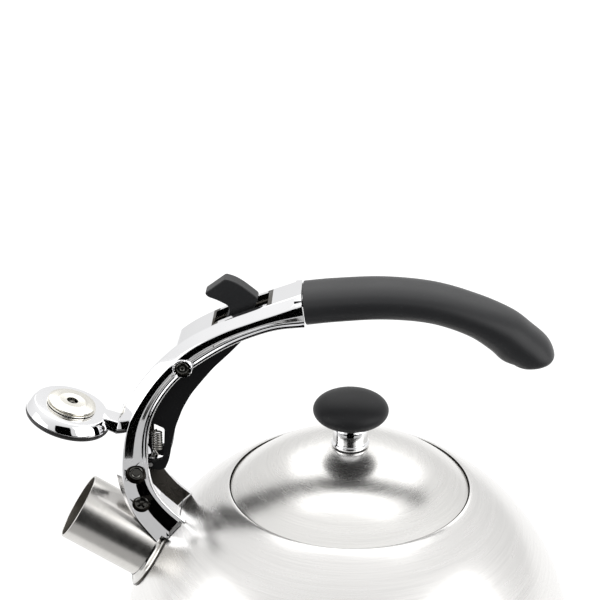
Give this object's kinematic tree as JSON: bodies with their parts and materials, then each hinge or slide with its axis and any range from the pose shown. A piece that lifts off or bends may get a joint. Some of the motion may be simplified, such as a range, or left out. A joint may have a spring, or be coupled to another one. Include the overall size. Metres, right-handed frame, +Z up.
{
  "type": "stovetop whistling kettle",
  "caption": "Domed steel stovetop kettle with an arched side-rooted handle, knobbed lid, upturned spout and a trigger-worked whistle flap.",
  "frame": {"origin": "centre of the base's underside, on the surface that the kettle stands on", "axes": "+Z up; the spout points to -X and the grip reaches to +X; the handle lies in the plane Y = 0"},
  "size_m": [0.2415, 0.2018, 0.2282],
  "materials": {
    "shell_steel": "brushed satin stainless steel",
    "base_steel": "brushed stainless steel",
    "aluminium": "plain aluminium",
    "spout_steel": "circular brushed stainless steel",
    "chrome": "polished chrome on a zinc casting",
    "pin_steel": "polished steel",
    "plain_steel": "plain steel",
    "spring_steel": "spring wire",
    "soft_black": "soft-touch black",
    "black_nylon": "moulded black nylon",
    "plate_silver": "nickel-plated brass",
    "brass": "plain brass",
    "silicone": "grey silicone"
  },
  "bodies": {
    "kettle": {"body_shell": "shell_steel", "base_pan": "shell_steel", "base_capsule": "base_steel", "heat_spreader": "aluminium", "spout_tube": "spout_steel", "spout_flange": "spout_steel", "handle_arm": "chrome", "handle_bracket": "plain_steel", "foot_screw_near": "pin_steel", "foot_screw_far": "pin_steel", "flap_pivot_pin": "pin_steel", "lever_pivot_pin": "pin_steel", "spring_post": "plain_steel", "toggle_spring": "spring_steel", "grip": "soft_black", "grip_core": "black_nylon", "grip_screw": "plain_steel"},
    "lid": {"lid_shell": "shell_steel", "lid_skirt": "base_steel", "lid_knob": "soft_black", "knob_collar": "chrome", "knob_washer": "plain_steel", "knob_screw": "plain_steel", "knob_insert": "brass"},
    "whistle_flap": {"flap_cap": "chrome", "flap_seal": "silicone", "whistle_disc_outer": "plate_silver", "whistle_disc_inner": "plate_silver"},
    "trigger": {"trigger_lever": "black_nylon", "trigger_pad": "soft_black", "drive_pin": "plain_steel"}
  },
  "joints": [
    {"name": "lid_lift", "type": "slide", "parent": "kettle", "child": "lid", "axis": [0, 0, 1], "range_m": [0, 0.03]},
    {"name": "flap_hinge", "type": "hinge", "parent": "kettle", "child": "whistle_flap", "pos_m": [-0.092, 0, 0.14], "axis": [0, 1, 0], "range_deg": [-75.7, 0]},
    {"name": "trigger_hinge", "type": "hinge", "parent": "kettle", "child": "trigger", "pos_m": [-0.0706, 0, 0.1914], "axis": [0, 1, 0], "range_deg": [0, 7.5], "deforming": ["toggle_spring"]}
  ],
  "couplings": [
    {"joint": "trigger_hinge", "follows": "flap_hinge", "ratio": -0.099}
  ]
}
